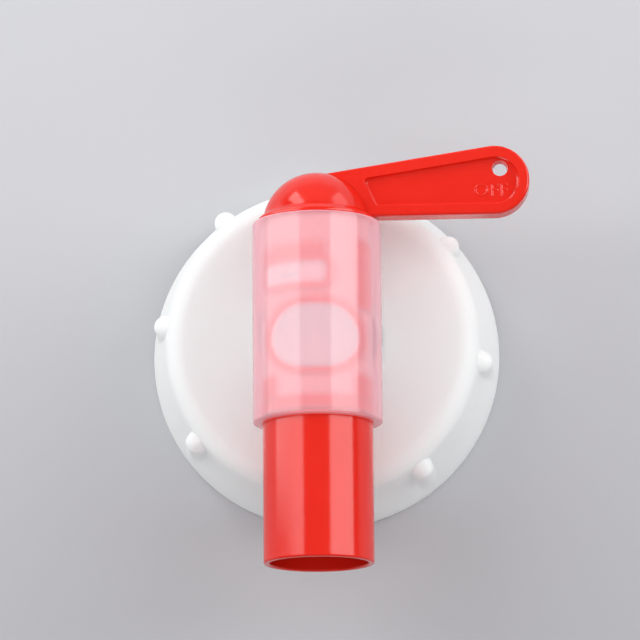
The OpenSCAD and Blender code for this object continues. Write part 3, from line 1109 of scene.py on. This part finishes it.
def cap_plastic():
    """Natural polyethylene: milky, with a satin skin and light that creeps under it."""
    material, _, shader, _ = moulded("cap natural", (0.925, 0.98, 0.985), (0.94, 0.99, 0.995),
                                     (0.5, 0.6), 0.02)
    set_sockets(shader, {"Specular IOR Level": 0.3, "Subsurface Weight": 0.75,
                         "Subsurface Radius": (1.0, 0.97, 0.97), "Subsurface Scale": CAP_SCATTER * MM,
                         "IOR": PLASTIC_IOR})
    return material


def flange_plastic():
    """Natural polypropylene of the inlet flange."""
    return moulded("flange natural", (0.82, 0.82, 0.83), (0.87, 0.87, 0.88), (0.3, 0.42), 0.02)[0]


def gasket_rubber():
    """Soft off-white sealing compound."""
    return moulded("gasket soft", (0.74, 0.74, 0.72), (0.8, 0.8, 0.78), (0.6, 0.75), 0.03, 600.0)[0]


def rotor_plastic():
    """Glossy red polypropylene."""
    material, _, shader, _ = moulded("rotor red", (0.78, 0.017, 0.007), (0.82, 0.021, 0.01),
                                     (0.12, 0.2), 0.006)
    shader.inputs["IOR"].default_value = PLASTIC_IOR
    return material


# %% [markdown]
# ## Frosted sleeve
# The sleeve's wall is milky: it hides part of what is behind it, and most where one looks along the
# wall. A real volume would need many light paths, so two thin coats share the job. The outer skin is a
# pink haze and carries the gloss; its pink is painted light, red that has met the barrel and comes back
# through the wall. The coat on the bore is paler and has a fainter painted pink. Where a seal rib
# touches the bore there is no air between them and the red shows clearly, so the coat thins there.
# Ambient Occlusion finds those places by the distance to the next surface, in every pose of the rotor.

# %% What both coats need
LAMP_SHARE = 0.1


def add_lamp_light(tree, cover, rotor_side):
    """Thins a coat for light on its way to the rotor, which a milky wall scatters but doesn't keep."""
    path = add_node(tree, "ShaderNodeLightPath")
    light = add_math(tree, "MAXIMUM", path.outputs["Is Shadow Ray"], path.outputs["Is Diffuse Ray"])
    inwards = add_math(tree, "MULTIPLY", light, rotor_side)
    share = add_math(tree, "MULTIPLY_ADD", inwards, LAMP_SHARE - 1, 1.0)
    return add_math(tree, "MULTIPLY", cover, share)


def add_tap_radius(tree):
    """Distance from the tap's axis, in metres."""
    where = add_node(tree, "ShaderNodeTexCoord")
    across = add_node(tree, "ShaderNodeVectorMath", operation="MULTIPLY_ADD")
    across.inputs[1].default_value = (1, 0, 1)
    across.inputs[2].default_value = (0, 0, -axis_h * MM)
    radius = add_node(tree, "ShaderNodeVectorMath", operation="LENGTH")
    link(where.outputs["Object"], across, 0)
    link(across.outputs["Vector"], radius, 0)
    return radius.outputs["Value"]


# %% Outer skin
SKIN_FACING = 0.35
SKIN_EDGE = 0.8
HAZE_FACING = (0.28, 0.66)
NECK_COVER = 0.8
NECK_MILK = (0.9, 0.88, 0.89, 1)
NECK_FADE = (0.2, 1.6)
GLOSS_ROUGH = (0.09, 0.15)
GLOSS_GRAIN = 700.0


def sleeve_skin():
    """A pink haze of painted red light round the barrel that turns to milky white on the neck, under gloss.
    """
    # The pink is painted light: red that the barrel sends back through the milky wall, faded to the neck's
    # own milky white.
    material, tree, shader, output = moulded("sleeve skin", (0.97, 0.505, 0.57), (0.99, 0.525, 0.59),
                                             (0.4, 0.5), 0.006)
    shader.inputs["Specular IOR Level"].default_value = 0.0
    fade = [(SLEEVE_R + distance) * MM for distance in NECK_FADE]
    away = add_span(tree, add_tap_radius(tree), *fade, 0.0, 1.0)
    painted_red_light = shader.inputs["Base Color"].links[0].from_socket
    tint = add_node(tree, "ShaderNodeMix", data_type="RGBA")
    tint.inputs["B"].default_value = NECK_MILK
    link(away, tint, "Factor")
    link(painted_red_light, tint, "A")
    link(tint.outputs["Result"], shader, "Base Color")
    edge = add_node(tree, "ShaderNodeLayerWeight")
    edge.inputs["Blend"].default_value = 0.5
    haze = add_span(tree, edge.outputs["Facing"], *HAZE_FACING, SKIN_FACING, SKIN_EDGE)
    cover = add_math(tree, "MAXIMUM", haze, add_math(tree, "MULTIPLY", away, NECK_COVER))
    behind = add_node(tree, "ShaderNodeNewGeometry").outputs["Backfacing"]
    link(add_lamp_light(tree, cover, behind), shader, "Alpha")
    gloss = add_node(tree, "ShaderNodeBsdfGlossy")
    add_roughness(tree, gloss, GLOSS_ROUGH, GLOSS_GRAIN)
    fresnel = add_node(tree, "ShaderNodeFresnel")
    fresnel.inputs["IOR"].default_value = PLASTIC_IOR
    mix = add_node(tree, "ShaderNodeMixShader")
    shine = add_math(tree, "MULTIPLY", fresnel.outputs["Fac"], add_math(tree, "SUBTRACT", 1.0, behind))
    link(shine, mix, "Fac")
    link(shader.outputs["BSDF"], mix, 1)
    link(gloss.outputs["BSDF"], mix, 2)
    link(mix.outputs["Shader"], output, "Surface")
    return material


# %% Coat on the bore
CONTACT_REACH = 1.1
CONTACT_SAMPLES = 16
MILK_STOPS = [(0.05, 0.17), (0.55, 0.5), (1.0, 0.63)]


def sleeve_core():
    """The milky coat on the bore in a painted pink from the barrel's light, thin where a rib of the rotor
    touches it.
    """
    # The pink is painted red light from the barrel, fainter than on the outer skin.
    material, tree, shader, _ = moulded("sleeve core", (0.96, 0.81, 0.88), (0.98, 0.83, 0.9),
                                        (0.5, 0.6), 0.006)
    shader.inputs["Specular IOR Level"].default_value = 0.0
    near = add_node(tree, "ShaderNodeAmbientOcclusion", samples=CONTACT_SAMPLES, inside=True)
    near.inputs["Distance"].default_value = CONTACT_REACH * MM
    milk = add_ramp(tree, near.outputs["AO"], [(place, (cover,) * 3) for place, cover in MILK_STOPS])
    behind = add_node(tree, "ShaderNodeNewGeometry").outputs["Backfacing"]
    front = add_math(tree, "SUBTRACT", 1.0, behind)
    link(add_lamp_light(tree, milk.outputs["Color"], front), shader, "Alpha")
    return material


# %% All materials and the thread
cap_white = cap_plastic()
flange_white = flange_plastic()
gasket_white = gasket_rubber()
red = rotor_plastic()
sleeve_coats = [sleeve_skin(), sleeve_core()]
print("materials", [material.name for material in bpy.data.materials])
thread = make_thread(cap_white)
report(thread)

# %% [markdown]
# ## Dressing the frame
# Each piece now gets its material, stands in for its solid and rides on the body that carries it. The
# cap turns on the neck, and the rotor turns in the sleeve, so nothing is shared between bodies.

# %% Dress
BORE_MARGIN = 0.1
BORE_FACING = -0.5


def coat_bore(piece):
    """Gives the faces of the sleeve's bore the second material."""
    for face in piece.data.polygons:
        out = Vector((face.center.x, 0, face.center.z - axis_h * MM))
        near = out.length < (SNAP_GROOVE_R + BORE_MARGIN) * MM
        inward = face.normal.dot(out.normalized()) < BORE_FACING
        face.material_index = 1 if near and inward else 0


dress = [
    (cap, "screw_cap", "screw_cap", "cap_natural", [cap_white]),
    (thread, "screw_cap", "screw_cap", "cap_natural", [cap_white]),
    (tap_body, "tap_body", "tap_body", "sleeve_frosted", sleeve_coats),
    (flange, "inlet_flange", "tap_body", "flange_natural", [flange_white]),
    (gasket, "neck_gasket", "tap_body", "gasket_soft", [gasket_white]),
    (rotor, "rotor", "rotor", "rotor_red", [red]),
]
for piece, node, body, slot, coats in dress:
    piece.data.materials.clear()
    for material in coats:
        piece.data.materials.append(material)
    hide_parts(node)
    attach(piece, body)
coat_bore(tap_body)
print("dressed", [row[0].name for row in dress])

# %% [markdown]
# ## Floor and light
# The tap lies on a pale grey table between two large soft boxes that stand like the walls of a tent.
# Their straight edges are what shows as crisp strips along the sleeve and the spout, so they are real
# rectangles of light at real places. Two more further back make the windows on the dome, and a dim one
# behind them softens its rim. Two fills, which don't show in gloss, stand for the light that the white
# room throws back.

# %% Floor
FLOOR_SIZE = 6.0
FLOOR_STEPS = 24
FLOOR_DARK = (0.455, 0.457, 0.48)
FLOOR_LIGHT = (0.605, 0.61, 0.635)
FADE_DIRECTION = (-0.28, 0.96, 0.0)
FADE_REACH = 0.15
FLOOR_ROUGH = (0.5, 0.6)


def make_floor():
    """A large pale table top whose colour carries a painted falloff of light, darker towards the front
    right.
    """
    work = bmesh.new()
    bmesh.ops.create_grid(work, x_segments=FLOOR_STEPS, y_segments=FLOOR_STEPS, size=FLOOR_SIZE / 2)
    mesh = bpy.data.meshes.new("floor")
    work.to_mesh(mesh)
    work.free()
    floor = add_object("floor", mesh)
    material, tree, shader, _ = new_material("floor grey")
    add_roughness(tree, shader, FLOOR_ROUGH)
    shader.inputs["Specular IOR Level"].default_value = 0.2
    # Painted light: the colour grades from dark at the front right to light at the back left, as a lamp's
    # falloff would.
    where = add_node(tree, "ShaderNodeTexCoord")
    along = add_node(tree, "ShaderNodeVectorMath", operation="DOT_PRODUCT")
    along.inputs[1].default_value = FADE_DIRECTION
    link(where.outputs["Object"], along, 0)
    place = add_span(tree, along.outputs["Value"], -FADE_REACH, FADE_REACH, 0.0, 1.0)
    painted_falloff = add_ramp(tree, place, [(0.0, FLOOR_DARK), (1.0, FLOOR_LIGHT)])
    link(painted_falloff.outputs["Color"], shader, "Base Color")
    mesh.materials.append(material)


make_floor()
print("floor", FLOOR_SIZE, "m wide")

# %% Soft boxes
def add_soft_box(name, place, turn, size, radiance, mirrored=True):
    """A rectangle of light in metres, which shines along its own -Z before it is turned."""
    data = bpy.data.lights.new(name, "AREA")
    data.shape = "RECTANGLE"
    data.size, data.size_y = size
    data.energy = radiance * math.pi * size[0] * size[1]
    lamp = add_object(name, data)
    lamp.location = place
    lamp.rotation_euler = [math.radians(angle) for angle in turn]
    lamp.visible_camera = False
    lamp.visible_glossy = mirrored
    return lamp


add_soft_box("left box", (-0.6, 0.23, 0.585), (0, -90, 0), (1.17, 0.34), 3.4)
add_soft_box("right box", (0.6, 0.2, 0.675), (0, 90, 0), (1.05, 0.38), 3.85)
add_soft_box("left window", (-0.5, 0.725, 0.625), (0, -90, 0), (0.95, 0.45), 3.7)
add_soft_box("right window", (0.6, 0.685, 0.325), (0, 90, 0), (0.55, 0.53), 2.2)
add_soft_box("back glow", (0, 1.5, 0.8), (-90, 0, 0), (2.4, 1.6), 0.4)
add_soft_box("top fill", (0, 0, 1.2), (0, 0, 0), (1.2, 1.2), 1.0, False)
add_soft_box("front fill", (0, -0.8, 0.6), (90, 0, 0), (1.0, 0.8), 1.5, False)
world = bpy.data.worlds.new("room")
world.use_nodes = True
room = world.node_tree.nodes["Background"]
set_sockets(room, {"Color": (0.9, 0.9, 0.92, 1), "Strength": 0.1})
bpy.context.scene.world = world
bpy.context.scene.view_settings.view_transform = "Standard"
print("lamps", [lamp.name for lamp in bpy.data.lights])
